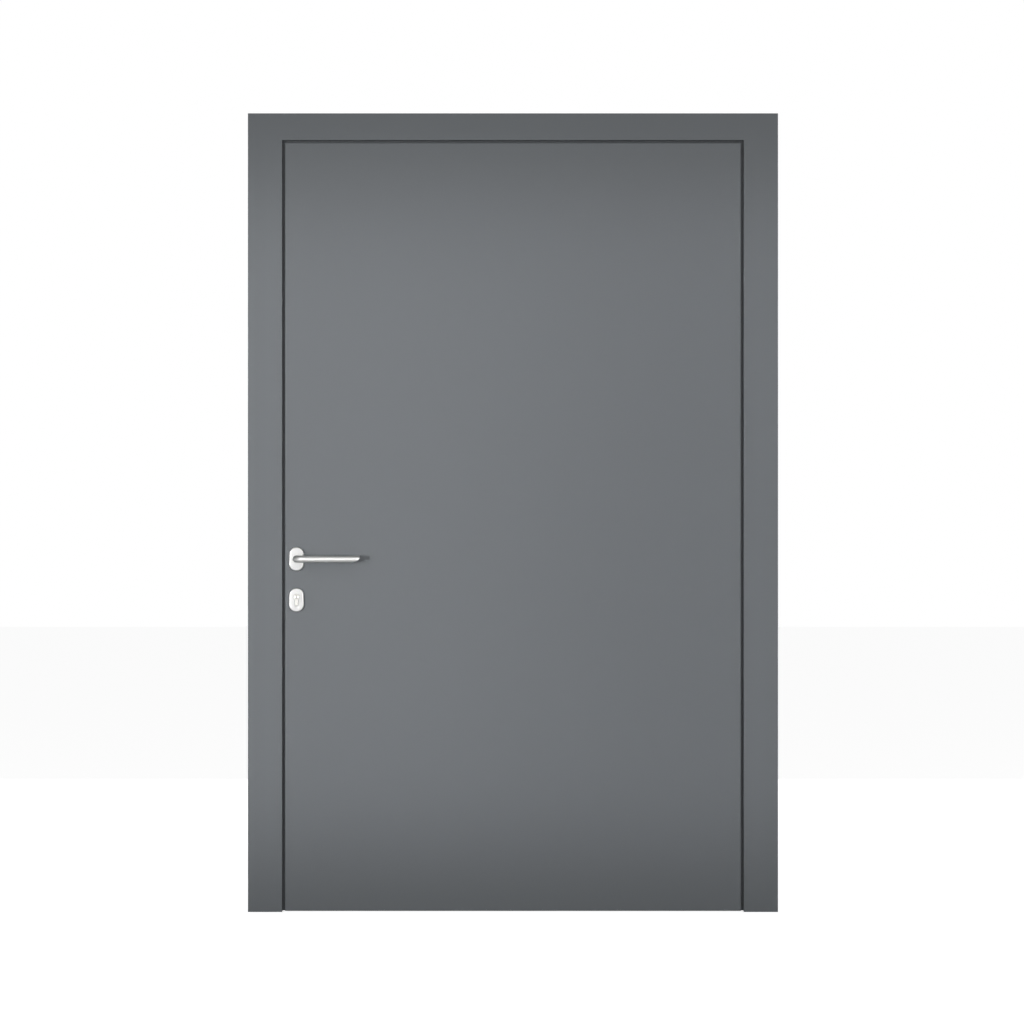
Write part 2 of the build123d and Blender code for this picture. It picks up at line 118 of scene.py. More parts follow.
# %% A socket that can be added and multiplied
class Shade:
    """One socket of a material, with arithmetic that adds Math nodes."""

    def __init__(self, tree, socket):
        self.tree = tree
        self.socket = socket

    def node(self, kind, settings=None, sockets=None, out=0):
        """Any node: its settings are set first, then its sockets get values or links."""
        made = self.tree.nodes.new(kind)
        for name, value in (settings or {}).items():
            setattr(made, name, value)
        for name, value in (sockets or {}).items():
            if isinstance(value, Shade):
                self.tree.links.new(value.socket, made.inputs[name])
            elif isinstance(value, bpy.types.NodeSocket):
                self.tree.links.new(value, made.inputs[name])
            else:
                made.inputs[name].default_value = value
        return Shade(self.tree, made.outputs[out])

    def maths(self, operation, first, second=0.0):
        return self.node("ShaderNodeMath", {"operation": operation}, {0: first, 1: second})

    def __add__(self, other):
        return self.maths("ADD", self, other)

    def __radd__(self, other):
        return self.maths("ADD", other, self)

    def __sub__(self, other):
        return self.maths("SUBTRACT", self, other)

    def __rsub__(self, other):
        return self.maths("SUBTRACT", other, self)

    def __mul__(self, other):
        return self.maths("MULTIPLY", self, other)

    def __rmul__(self, other):
        return self.maths("MULTIPLY", other, self)


def grey(value):
    return (value, value, value, 1.0)


print("operators ready:", [name for name in vars(Shade) if name.startswith("__r")])

# %% [markdown]
# ## Starting a material
# Every finish starts in the same way: a Principled shader, and the object's own coordinates in
# metres. The CAD nodes and the added pieces all sit at the origin, so one pattern runs on
# unbroken from one piece to the next, and a bump of 0.00002 really is a fiftieth of a millimetre.


# %% A new material and its coordinates
def start_material(name, **constants):
    """A material with its shader, and its object coordinates as a Shade."""
    material = bpy.data.materials.new(name)
    material.use_nodes = True
    tree = material.node_tree
    shader = tree.nodes["Principled BSDF"]
    for socket, value in constants.items():
        shader.inputs[socket.replace("_", " ")].default_value = value
    place = Shade(tree, tree.nodes.new("ShaderNodeTexCoord").outputs["Object"])
    return material, shader, place


def feed(shader, socket, value):
    """Link a varying value to one of the shader's sockets."""
    value.tree.links.new(value.socket, shader.inputs[socket])


def stretched(place, scale):
    """Coordinates squeezed along some axes, so that noise turns into lines."""
    return place.node("ShaderNodeMapping", {}, {"Vector": place, "Scale": scale})


def noise(place, scale, detail=2.0, rough=0.5):
    """Noise with values round a half."""
    return place.node(
        "ShaderNodeTexNoise", {},
        {"Vector": place, "Scale": scale, "Detail": detail, "Roughness": rough}, out="Fac",
    )


def tinted(mask, low, high):
    """A colour that runs from low to high as the mask runs from 0 to 1."""
    return mask.node(
        "ShaderNodeMix", {"data_type": "RGBA"}, {"Factor": mask, "A": low, "B": high}, out=2
    )


def bump(height, distance, strength=1.0):
    """A surface normal from a height between 0 and 1, that stands for a real distance."""
    return height.node(
        "ShaderNodeBump", {}, {"Height": height, "Distance": distance, "Strength": strength}
    )


finishes = {}
print("finishes so far:", len(finishes))

# %% [markdown]
# ## The powder coat
# Frame and leaf are sprayed with powder that melts into one satin film. Close to, the film has a
# fine orange peel about a millimetre across, because the powder doesn't flow quite flat. Its
# colour drifts by about one part in a hundred over a whole door. Both are noise: a fine one for
# the peel, which only bends the normal, and a wide one for the colour and the gloss.


# %% Powder-coat materials
def linear(value):
    """A display value from 0 to 1 as the linear value that a shader takes."""
    if value <= 0.04045:
        return value / 12.92
    return ((value + 0.055) / 1.055) ** 2.4


def coating(name, base, drift, gloss):
    """Satin powder coat: base is a display colour."""
    material, shader, place = start_material(name, Metallic=0.0, Coat_Weight=0.0)
    cloud = noise(place, 1.7, detail=3.0)
    speck = noise(place, 420.0, detail=2.0)
    shades = [
        tuple(linear(channel) * level for channel in base) + (1.0,)
        for level in (1 - drift, 1 + drift)
    ]
    feed(shader, "Base Color", tinted(cloud * 0.7 + speck * 0.3, *shades))
    feed(shader, "Roughness", gloss + cloud * 0.05 + speck * 0.04)
    peel = noise(place, 900.0, detail=2.0, rough=0.6) * 0.75 + noise(place, 260.0) * 0.25
    feed(shader, "Normal", bump(peel, 0.00002, 0.5))
    return material


grey_coat = (0.393, 0.411, 0.426)
finishes["frame_coating"] = coating("frame_powder_coat", grey_coat, 0.012, 0.40)
finishes["leaf_coating"] = coating("leaf_powder_coat", grey_coat, 0.012, 0.39)
print("coat colour:", grey_coat)

# %% [markdown]
# ## Polyamide and rubber
# The bars between the shells are drawn from black polyamide with glass fibre, which leaves faint
# streaks along each bar. The gaskets are EPDM rubber: darker, duller, with a fine even grain.
# A bar may run along any axis, so its streaks are the sum of two stretched noises.


# %% Polyamide and rubber materials
def fibre_plastic():
    material, shader, place = start_material("fibre_polyamide", Metallic=0.0)
    streaks = (
        noise(stretched(place, (900, 900, 25)), 1.0) * 0.5
        + noise(stretched(place, (25, 900, 900)), 1.0) * 0.5
    )
    feed(shader, "Base Color", tinted(streaks, grey(0.0030), grey(0.0062)))
    feed(shader, "Roughness", 0.5 + streaks * 0.2)
    feed(shader, "Normal", bump(streaks, 0.00003, 0.6))
    return material


def seal_rubber():
    material, shader, place = start_material("seal_rubber", Metallic=0.0)
    grain = noise(place, 1600.0, detail=3.0)
    dust = noise(place, 35.0, detail=4.0)
    feed(shader, "Base Color", tinted(dust, grey(0.0022), grey(0.0048)))
    feed(shader, "Roughness", 0.62 + dust * 0.18)
    feed(shader, "Normal", bump(grain, 0.00004, 0.7))
    return material


finishes["polyamide"] = fibre_plastic()
finishes["seal_rubber"] = seal_rubber()
print("black finishes:", finishes["polyamide"].name, finishes["seal_rubber"].name)

# %% [markdown]
# ## The drawn metals
# Lever, plates and edge plates are satin stainless steel. A belt draws hair-fine lines along
# them: along the lever's length, and upright on the plates. The lines could be cut as grooves,
# but they are finer than any mesh. Noise squeezed along two axes gives them at any distance, so
# one function makes all of these and takes the direction of the lines. They change the gloss and
# the normal, hardly the colour. The hinges are satin anodised aluminium, with deeper lines.

# %% Drawn metals
metal_drift = 0.03


def drawn_metal(name, colour, gloss, lines, depth=0.000012):
    """Metal with fine parallel lines: lines is the squeeze along x, y and z."""
    material, shader, place = start_material(name, Metallic=1.0)
    hair = noise(stretched(place, lines), 1.0, detail=4.0, rough=0.65)
    patch = noise(place, 22.0, detail=2.0)
    low = tuple(channel * (1 - metal_drift) for channel in colour) + (1.0,)
    feed(shader, "Base Color", tinted(hair * 0.6 + patch * 0.4, low, (*colour, 1.0)))
    feed(shader, "Roughness", gloss + hair * 0.12 + patch * 0.04)
    feed(shader, "Normal", bump(hair, depth, 0.5))
    return material


upright_lines = (2600.0, 2600.0, 30.0)
level_lines = (30.0, 2600.0, 2600.0)
lever_colour = (0.70, 0.70, 0.69)
plate_colour = (0.53, 0.53, 0.525)
edge_colour = (0.56, 0.56, 0.55)
hinge_colour = (0.46, 0.47, 0.48)
finishes["handle_metal"] = drawn_metal("satin_lever_steel", lever_colour, 0.39, level_lines)
finishes["lock_steel"] = drawn_metal("satin_lock_steel", edge_colour, 0.24, upright_lines)
finishes["hinge_metal"] = drawn_metal(
    "anodised_aluminium", hinge_colour, 0.36, upright_lines, depth=0.00002
)
plate_steel = drawn_metal("satin_plate_steel", plate_colour, 0.22, upright_lines)
print("drawn metals:", plate_steel.name, "and", finishes["handle_metal"].name)

# %% [markdown]
# ## Turned nickel and zinc plate
# The lock cylinder is nickelled, and its faces are turned, so their lines are rings. Noise along
# one number does this, where the number is the distance from the cylinder's own axis. The spindle
# is zinc-plated steel, and the plating shows as small cloudy patches.

# %% Metals of cylinder and spindle
turning_lines = 5200.0
nickel_colours = ((0.60, 0.59, 0.56, 1), (0.68, 0.67, 0.64, 1))
zinc_colours = ((0.36, 0.37, 0.39, 1), (0.52, 0.53, 0.54, 1))


def centre_of(node):
    """The middle of a CAD node's box."""
    low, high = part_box(node)
    return (low + high) / 2


def turned_nickel():
    """Rings round the cylinder's axis, by each point's distance from it."""
    material, shader, place = start_material("turned_nickel", Metallic=1.0)
    middle = centre_of("lock_cylinder")
    middle.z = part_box("lock_cylinder")[1].z - cylinder_radius
    offset = place.node(
        "ShaderNodeVectorMath", {"operation": "SUBTRACT"}, {0: place, 1: tuple(middle)}
    )
    flat = place.node(
        "ShaderNodeVectorMath", {"operation": "MULTIPLY"}, {0: offset, 1: (1, 0, 1)}
    )
    away = place.node("ShaderNodeVectorMath", {"operation": "LENGTH"}, {0: flat}, out="Value")
    rings = away.node(
        "ShaderNodeTexNoise", {"noise_dimensions": "1D"},
        {"W": away * turning_lines, "Scale": 1.0, "Detail": 3.0}, out="Fac",
    )
    feed(shader, "Base Color", tinted(rings, *nickel_colours))
    feed(shader, "Roughness", 0.2 + rings * 0.14)
    feed(shader, "Normal", bump(rings, 0.000012, 0.5))
    return material


def zinc_plate():
    """Small cloudy patches in colour, gloss and height."""
    material, shader, place = start_material("zinc_plate", Metallic=1.0)
    cloud = noise(place, 160.0, detail=4.0)
    feed(shader, "Base Color", tinted(cloud, *zinc_colours))
    feed(shader, "Roughness", 0.32 + cloud * 0.2)
    feed(shader, "Normal", bump(cloud, 0.00002, 0.5))
    return material


cylinder_radius = (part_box("lock_cylinder")[1].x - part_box("lock_cylinder")[0].x) / 2
finishes["cylinder_nickel"] = turned_nickel()
finishes["spindle_steel"] = zinc_plate()
print("finishes:", sorted(finishes))

# %% [markdown]
# ## Dressing the CAD nodes
# The record says which finish each node takes. Assigning a material to the object's own slot
# changes how it looks and leaves its mesh alone.


# %% Give every CAD node its finish
def dress(piece, material):
    """Give a piece one material."""
    piece.data.materials.clear()
    piece.data.materials.append(material)


slot_of = {row["node"]: row["material_slot"] for row in frame["record"]["subparts"]}
for name, node in nodes.items():
    dress(node, finishes[slot_of[name]])
print("dressed nodes:", len(slot_of))

# %% [markdown] ## Making a piece The pieces that follow are worked out as lists of points and
# faces, in metres and in place, so that each object can stay at the origin.


# %% From points and faces to a finished piece
def make_piece(name, points, faces, material, body, replaced=(), smooth_angle=35):
    """A mesh object that rides on a body and may stand for CAD nodes."""
    mesh = bpy.data.meshes.new(name)
    mesh.from_pydata(points, [], faces)
    form = bmesh.new()
    form.from_mesh(mesh)
    bmesh.ops.remove_doubles(form, verts=form.verts, dist=1e-6)
    bmesh.ops.recalc_face_normals(form, faces=form.faces)
    form.to_mesh(mesh)
    form.free()
    piece = bpy.data.objects.new(name, mesh)
    scene.collection.objects.link(piece)
    finish_piece(piece, material, body, replaced, smooth_angle)
    return piece


def finish_piece(piece, material, body, replaced=(), smooth_angle=35):
    """Shade a piece, give it its finish and hand it to its body."""
    piece.data.shade_smooth()
    piece.data.set_sharp_from_angle(angle=radians(smooth_angle))
    dress(piece, material)
    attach(piece, body)
    if replaced:
        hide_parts(*replaced)
    print(piece.name, "faces:", len(piece.data.polygons))


def strip(rings, closed_ends=False):
    """Points and faces of rings with equal counts, each joined to the next."""
    count = len(rings[0])
    points = [point for ring in rings for point in ring]
    faces = []
    for row in range(len(rings) - 1):
        for step in range(count):
            after = (step + 1) % count
            faces.append((
                row * count + step, row * count + after,
                (row + 1) * count + after, (row + 1) * count + step,
            ))
    if closed_ends:
        faces.append(tuple(range(count)))
        faces.append(tuple((len(rings) - 1) * count + step for step in range(count)))
    return points, faces


quarter_steps = 8
quarter = [step * pi / 2 / quarter_steps for step in range(quarter_steps + 1)]
print("steps in a rounded edge:", len(quarter) - 1)

# %% [markdown]
# ## The holes in the plates
# A rosette has a round hole for the lever's neck. An escutcheon has the outline of the lock
# cylinder: a round barrel over a web with a round foot. Cutting a cylinder shape out of a plate
# with a Boolean would leave ragged faces, so a formula gives each outline as a list of points,
# from which the whole plate is then built.

# %% The two holes
hole_steps = 96
barrel_steps = 60
side_steps = 8
foot_steps = 18
seam_slack = 1e-9


def round_hole(radius):
    """Points on a circle."""
    return [
        (radius * cos(2 * pi * step / hole_steps), radius * sin(2 * pi * step / hole_steps))
        for step in range(hole_steps)
    ]


def key_hole(radius, half_web, length_down):
    """The lock cylinder's outline: a round barrel over a web with a round foot."""
    start = atan2(-sqrt(radius**2 - half_web**2), half_web)
    arc = 2 * (pi / 2 - start) - seam_slack
    barrel = [
        (radius * cos(start + arc * step / barrel_steps),
         radius * sin(start + arc * step / barrel_steps))
        for step in range(barrel_steps + 1)
    ]
    foot_z = -(length_down - half_web)
    last_z = barrel[-1][1]
    side = [
        (-half_web, last_z + (foot_z - last_z) * step / side_steps)
        for step in range(1, side_steps + 1)
    ]
    foot = [
        (-half_web * cos(pi * step / foot_steps), foot_z - half_web * sin(pi * step / foot_steps))
        for step in range(1, foot_steps)
    ]
    other = [(half_web, z) for _, z in reversed(side)]
    return barrel + side + foot + other


clearance = 0.0003
web = 0.005
length_down = 0.0245
print("points in the key hole:", len(key_hole(cylinder_radius, web, length_down)))

# %% [markdown]
# ## Oval plates with soft edges
# Both faces of the leaf carry two pressed plates. Their front edge is rolled over, wider than it
# is deep, so a plate fades towards its rim instead of ending in a line. Each plate is a stack of
# rings. Every ring has one point for each point of the hole in the middle, found by walking out
# from the centre until the oval's edge is met, so all faces are clean quads and the hole can have
# any shape.


# %% Build the four plates
def oval_plate(name, node, hole, hole_middle, face, outwards):
    """A plate with a broad rolled edge and a small inner edge round its hole."""
    low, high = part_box(node)
    middle = (low + high) / 2
    half_width = (high.x - low.x) / 2
    half_height = (high.z - low.z) / 2
    depth = high.y - low.y
    shift = hole_middle[1] - middle.z
    rings = []

    def outer_ring(inset, height):
        ring = []
        for x, z in hole:
            length = sqrt(x * x + z * z)
            direction = (x / length, z / length)
            reach = walk_out(direction, shift, half_width - inset, half_height - inset,
                             corner - inset)
            ring.append((
                hole_middle[0] + direction[0] * reach,
                face + outwards * height,
                hole_middle[1] + direction[1] * reach,
            ))
        return ring

    def inner_ring(grow, height):
        return [
            (hole_middle[0] + x * (1 + grow), face + outwards * height,
             hole_middle[1] + z * (1 + grow))
            for x, z in hole
        ]

    rings.append(inner_ring(0, 0))
    rings.append(outer_ring(0, 0))
    rings += [
        outer_ring(roll_width * (1 - cos(angle)), depth - roll_depth * (1 - sin(angle)))
        for angle in quarter
    ]
    rings.append(inner_ring(hole_flare, depth))
    rings.append(inner_ring(0, depth - hole_edge))
    rings.append(inner_ring(0, 0))
    points, faces = strip(rings)
    return make_piece(name, points, faces, plate_steel, "leaf", [node])


def walk_out(direction, shift, half_width, half_height, corner):
    """The reach from a hole's middle that stands shift above the plate's own middle."""
    low, high = 0.0, half_width + 2 * half_height
    for _ in range(halvings):
        reach = (low + high) / 2
        x = abs(direction[0] * reach)
        z = abs(direction[1] * reach + shift)
        across = max(x - (half_width - corner), 0.0)
        along = max(z - (half_height - corner), 0.0)
        if across * across + along * along > corner * corner:
            high = reach
        else:
            low = reach
    return low


roll_width = 0.0036
roll_depth = 0.0030
corner = 0.020
hole_flare = 0.045
hole_edge = 0.0004
halvings = 40
lever_radius = (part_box("lever_outside")[1].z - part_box("lever_outside")[0].z) / 2
running_clearance = 0.00005
leaf_faces = {"outside": (0.0, -1), "inside": (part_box("leaf_inner_panel")[1].y, 1)}
lever_middle = centre_of("spindle")
barrel_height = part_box("lock_cylinder")[1].z - cylinder_radius
for side, (face, outwards) in leaf_faces.items():
    oval_plate(
        f"rosette_{side}_pressed", f"rosette_{side}", round_hole(lever_radius + running_clearance),
        (lever_middle.x, lever_middle.z), face, outwards,
    )
    oval_plate(
        f"escutcheon_{side}_pressed", f"escutcheon_{side}",
        key_hole(cylinder_radius + clearance, web + clearance, length_down + clearance),
        (lever_middle.x, barrel_height), face, outwards,
    )

# %% [markdown]
# ## The lever
# The lever is one round bar, bent once at the neck and cut to a slanting tip. Blender's curve
# bevel could sweep it, but not cut its tip, so here the rings of the bar are placed along the
# bend and clamped from below where the tip rises. The last rings shrink along a quarter circle,
# as a polished edge does.


# %% Rings along a bent bar
def bend_path(start_y, grip_y, reach, elbow):
    """Middle points and directions along neck, elbow and grip, in the plane of x and y."""
    stations = [((0.0, start_y), (0.0, -1.0))]
    stations.append(((0.0, grip_y + elbow), (0.0, -1.0)))
    for step in range(1, elbow_steps + 1):
        angle = pi / 2 * step / elbow_steps
        stations.append((
            (elbow - elbow * cos(angle), grip_y + elbow - elbow * sin(angle)),
            (sin(angle), -cos(angle)),
        ))
    straight = reach - elbow
    for step in range(1, grip_steps + 1):
        stations.append(((elbow + straight * step / grip_steps, grip_y), (1.0, 0.0)))
    return stations


def lever_piece(name, node, outwards):
    """The bar seen from one side of the leaf; the other side is its mirror image."""
    low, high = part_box(node)
    radius = (high.z - low.z) / 2
    axis_x = lever_middle.x
    middle_z = lever_middle.z
    reach = high.x - axis_x
    front = high.y if outwards > 0 else low.y
    back = low.y if outwards > 0 else high.y
    tip_start = reach - tip_length
    edge_height = radius - tip_edge
    rings = []

    def ring_at(centre, heading, shrink=0.0, ahead=0.0):
        """One ring of the bar, cut from below near the tip and shrunk by its rounded end."""
        ring = []
        size = radius - shrink
        for step in range(ring_count):
            turn = 2 * pi * step / ring_count
            side = (-heading[1] * cos(turn) * size, heading[0] * cos(turn) * size)
            x = centre[0] + side[0] + heading[0] * ahead
            y = centre[1] + side[1] + heading[1] * ahead
            z = sin(turn) * size
            if x > tip_start:
                rise = min((x - tip_start) / tip_length, 1.0)
                floor = -radius + (edge_height + radius) * (1 - sqrt(1 - rise * rise))
                z = max(z, min(floor + shrink, radius - shrink))
            ring.append((axis_x + x, y if outwards < 0 else 2 * mirror_y - y, middle_z + z))
        return ring

    mirror_y = centre_of("spindle").y
    outside_front = front if outwards < 0 else 2 * mirror_y - front
    outside_back = back if outwards < 0 else 2 * mirror_y - back
    grip_y = outside_front + radius
    stations = bend_path(outside_back, grip_y, reach - tip_round, elbow_radius)
    rings += [ring_at(centre, heading) for centre, heading in stations]
    end, heading = stations[-1]
    for angle in quarter[1:]:
        rings.append(ring_at(
            end, heading, tip_round * (1 - cos(angle)), tip_round * sin(angle)
        ))
    points, faces = strip(rings, closed_ends=True)
    return make_piece(
        name, points, faces, finishes["handle_metal"], "lever_set", [node]
    )


ring_count = 64
elbow_steps = 16
grip_steps = 60
tip_length = 0.028
tip_edge = 0.005
tip_round = 0.0015
elbow_radius = 0.020
for side, (_, outwards) in leaf_faces.items():
    lever_piece(f"lever_{side}_polished", f"lever_{side}", outwards)

# %% [markdown]
# ## The lock cylinder
# A key cylinder is a nickelled barrel over a web, with a plug turning in the barrel. The CAD solid
# gives the outline and a plain slot. Here the body runs through the leaf as one stack of rings,
# with a chamfer and a shallow round seat for the plug at each end.


# %% Cylinder body
def cylinder_piece():
    """The outline of the cylinder run through the leaf, with a chamfer at both ends."""
    low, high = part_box("lock_cylinder")
    rings = []

    def ring(inset, y):
        outline = key_hole(cylinder_radius - inset, web - inset, length_down - inset)
        return [(lever_middle.x + x, y, barrel_height + z) for x, z in outline]

    def bore(radius, y):
        outline = key_hole(cylinder_radius, web, length_down)
        return [
            (lever_middle.x + radius * x / sqrt(x * x + z * z), y,
             barrel_height + radius * z / sqrt(x * x + z * z))
            for x, z in outline
        ]

    rings.append(bore(plug_radius + plug_gap, low.y + groove))
    rings.append(bore(plug_radius + plug_gap, low.y))
    rings.append(ring(end_chamfer, low.y))
    rings.append(ring(0, low.y + end_chamfer))
    rings.append(ring(0, high.y - end_chamfer))
    rings.append(ring(end_chamfer, high.y))
    rings.append(bore(plug_radius + plug_gap, high.y))
    rings.append(bore(plug_radius + plug_gap, high.y - groove))
    points, faces = strip(rings, closed_ends=True)
    return make_piece(
        "lock_cylinder_body", points, faces, finishes["cylinder_nickel"], "leaf",
        ["lock_cylinder"],
    )


plug_radius = 0.0062
plug_gap = 0.00025
groove = 0.0006
end_chamfer = 0.0004
cylinder_piece()

# %% [markdown]
# ## Plug and keyway
# The plug's face is the small disc that turns with the key, with a hair-line gap round it. Its
# slot is wavy, because ribs in it match the grooves along the key. Here the disc's rim and the
# slot's outline have the same number of points, so one ring runs into the other and the slot needs
# no cutting.


# %% Keyway: a wavy slot sunk into each plug's face
def keyway(count):
    """The slot's outline, matched point by point to a circle of the same count."""
    half = count // 2
    shares = [step / (half - 1) for step in range(half)]

    def edge_point(share, aside):
        wave = keyway_wave * sin(share * pi * keyway_bends)
        return (aside + wave, keyway_height * (0.5 - share))

    down = [edge_point(share, keyway_half_width) for share in shares]
    up = [edge_point(1 - share, -keyway_half_width) for share in shares]
    return down + up


def plug_piece(side, face_y, outwards):
    """The plug: a turned disc with an eased rim and a slot sunk into it."""
    slot = keyway(plug_count)
    rim = [
        (cos(pi / 2 - 2 * pi * (step + 0.5) / plug_count),
         sin(pi / 2 - 2 * pi * (step + 0.5) / plug_count))
        for step in range(plug_count)
    ]

    def place(x, z, height):
        return (lever_middle.x + x, face_y + outwards * height, barrel_height + z)

    levels = [
        (plug_radius, -groove), (plug_radius, -plug_edge / 2), (plug_radius - plug_edge, 0.0),
    ]
    rings = [[place(x * size, z * size, height) for x, z in rim] for size, height in levels]
    rings.append([place(x, z, 0.0) for x, z in slot])
    rings.append([place(x, z, -keyway_depth) for x, z in slot])
    points, faces = strip(rings, closed_ends=True)
    return make_piece(
        f"cylinder_plug_{side}", points, faces, finishes["cylinder_nickel"], "leaf",
    )


plug_count = 64
plug_edge = 0.0002
keyway_height = 0.0088
keyway_half_width = 0.00085
keyway_wave = 0.0006
keyway_bends = 3
keyway_depth = 0.009
low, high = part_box("lock_cylinder")
plug_piece("outside", low.y, -1)
plug_piece("inside", high.y, 1)

# %% [markdown]
# ## Hinge pins
# Each hinge turns on a pin that drops in from above, with a turned, domed head on top. A turned
# part is a profile spun round its axis, so one list of radii and heights makes all three. They
# ride with the frame, whose lowest knuckle is closed below them.


# %% Turned pins with a domed head
def turned(profile, middle, count=48):
    """Rings of a profile of (radius, height) round an upright axis."""
    return [
        [(middle[0] + radius * cos(2 * pi * step / count),
          middle[1] + radius * sin(2 * pi * step / count), height)
         for step in range(count)]
        for radius, height in profile
    ]


def pin_profile(low_z, high_z, head):
    """Radii and heights from the foot of the shaft to the top of the head."""
    rim = [
        (head - head_dome + head_dome * cos(angle), high_z - head_dome + head_dome * sin(angle))
        for angle in quarter
    ]
    return [
        (pin_radius - pin_edge, low_z), (pin_radius, low_z + pin_edge),
        (pin_radius, high_z - head_height), (head, high_z - head_height),
    ] + rim


pin_radius = 0.005
pin_edge = 0.0005
head_height = 0.004
head_dome = 0.0016
for number in (1, 2, 3):
    node = f"hinge_{number}_pin"
    low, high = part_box(node)
    middle = (low + high) / 2
    rings = turned(pin_profile(low.z, high.z, (high.x - low.x) / 2), middle)
    points, faces = strip(rings, closed_ends=True)
    make_piece(
        f"hinge_{number}_pin_turned", points, faces, finishes["hinge_metal"], "frame",
        [node],
    )

# %% [markdown]
# ## Screws, all from one tree
# Countersunk screws with a hexagon socket hold the hinge plates, the faceplate and the strike
# plate. They repeat, so Geometry Nodes makes them: the tree turns a head, sinks the hexagon into
# it and sets one head on every point of a list. Its sizes are named inputs. The list of points is
# the mesh that carries the modifier, one for each body. The result is made real and turned into a
# plain mesh, because an exported model keeps no instances.


# %% The screw tree
def node_group(name, inputs):
    """An empty geometry tree with named number inputs."""
    tree = bpy.data.node_groups.new(name, "GeometryNodeTree")
    tree.interface.new_socket("Geometry", in_out="INPUT", socket_type="NodeSocketGeometry")
    tree.interface.new_socket("Geometry", in_out="OUTPUT", socket_type="NodeSocketGeometry")
    for title, kind in inputs:
        tree.interface.new_socket(title, in_out="INPUT", socket_type=kind)
    return tree


def add(tree, kind, settings=None, sockets=None):
    """A node in a geometry tree, with its settings and sockets."""
    made = tree.nodes.new(kind)
    for name, value in (settings or {}).items():
        setattr(made, name, value)
    for name, value in (sockets or {}).items():
        if isinstance(value, bpy.types.NodeSocket):
            tree.links.new(value, made.inputs[name])
        else:
            made.inputs[name].default_value = value
    return made


def screw_tree():
    """A flat head with an eased rim and a hexagon socket, on every point, facing its normal."""
    tree = node_group("screws", [
        ("Head radius", "NodeSocketFloat"), ("Head height", "NodeSocketFloat"),
        ("Socket radius", "NodeSocketFloat"), ("Socket depth", "NodeSocketFloat"),
        ("Turn", "NodeSocketRotation"), ("Finish", "NodeSocketMaterial"),
    ])
    given = tree.nodes.new("NodeGroupInput").outputs
    head = add(tree, "GeometryNodeMeshCylinder", {"fill_type": "NGON"}, {
        "Vertices": head_corners, "Radius": given["Head radius"],
        "Depth": given["Head height"],
    })
    top = head.outputs["Top"]
    rim = add(tree, "GeometryNodeExtrudeMesh", {"mode": "FACES"}, {
        "Mesh": head.outputs["Mesh"], "Selection": top, "Offset Scale": rim_height,
    })
    rim_in = add(tree, "GeometryNodeScaleElements", {"domain": "FACE"}, {
        "Geometry": rim.outputs["Mesh"], "Selection": rim.outputs["Top"],
        "Scale": rim_share,
    })
    hexagon = add(tree, "GeometryNodeMeshCylinder", {"fill_type": "NGON"}, {
        "Vertices": 6, "Radius": given["Socket radius"], "Depth": given["Socket depth"],
    })
    lifted = add(tree, "ShaderNodeCombineXYZ", {}, {"Z": given["Head height"]})
    half = add(tree, "ShaderNodeVectorMath", {"operation": "SCALE"}, {
        0: lifted.outputs[0], "Scale": 0.5,
    })
    raised = add(tree, "GeometryNodeTransform", {}, {
        "Geometry": hexagon.outputs["Mesh"], "Translation": half.outputs[0],
    })
    cut = add(tree, "GeometryNodeMeshBoolean", {"operation": "DIFFERENCE", "solver": "EXACT"}, {
        "Mesh 1": rim_in.outputs["Geometry"], "Mesh 2": raised.outputs["Geometry"],
    })
    copies = add(tree, "GeometryNodeInstanceOnPoints", {}, {
        "Points": given["Geometry"], "Instance": cut.outputs["Mesh"],
        "Rotation": given["Turn"],
    })
    real = add(tree, "GeometryNodeRealizeInstances", {}, {
        "Geometry": copies.outputs["Instances"],
    })
    painted = add(tree, "GeometryNodeSetMaterial", {}, {
        "Geometry": real.outputs["Geometry"], "Material": given["Finish"],
    })
    out = tree.nodes.new("NodeGroupOutput")
    tree.links.new(painted.outputs["Geometry"], out.inputs["Geometry"])
    return tree


head_corners = 36
rim_height = 0.00015
rim_share = 0.93
screws = screw_tree()
print("inputs of the screw tree:", [item.name for item in screws.interface.items_tree])

# %% [markdown]
# ## Screws on the hinge plates
# Each hinge plate has four screws in two rows. Their places could be typed one by one; here they
# follow from the plates' own boxes, so the screws go along when a hinge is moved. A mesh of bare
# points carries the tree. Its evaluated result becomes a plain mesh, and the carrier is removed.


# %% Points that carry screws
def carried(name, places, tree, values, body, smooth_angle=35):
    """Run a geometry tree on a list of points, keep its mesh and hand it to its body."""
    mesh = bpy.data.meshes.new(name + "_points")
    mesh.from_pydata(places, [], [])
    carrier = bpy.data.objects.new(name + "_points", mesh)
    scene.collection.objects.link(carrier)
    modifier = carrier.modifiers.new("tree", "NODES")
    modifier.node_group = tree
    for item in tree.interface.items_tree:
        if item.name in values:
            modifier[item.identifier] = values[item.name]
    bpy.context.view_layer.update()
    graph = bpy.context.evaluated_depsgraph_get()
    made = bpy.data.meshes.new_from_object(carrier.evaluated_get(graph))
    made.name = name
    carrier.modifiers.clear()
    bpy.data.objects.remove(carrier)
    piece = bpy.data.objects.new(name, made)
    scene.collection.objects.link(piece)
    finish_piece(piece, values["Finish"], body, (), smooth_angle)
    return piece


def plate_screws(number, part, y, half_height, near, far, side):
    """Four places on a hinge plate, round the hinge's middle: two rows, two columns."""
    low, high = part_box(f"hinge_{number}_{part}")
    middle_z = centre_of(f"hinge_{number}_leaf_part").z
    outer = high.x if side > 0 else low.x
    return [
        (outer - side * distance, y, middle_z + rise)
        for distance in (near, far) for rise in (-half_height, half_height)
    ]


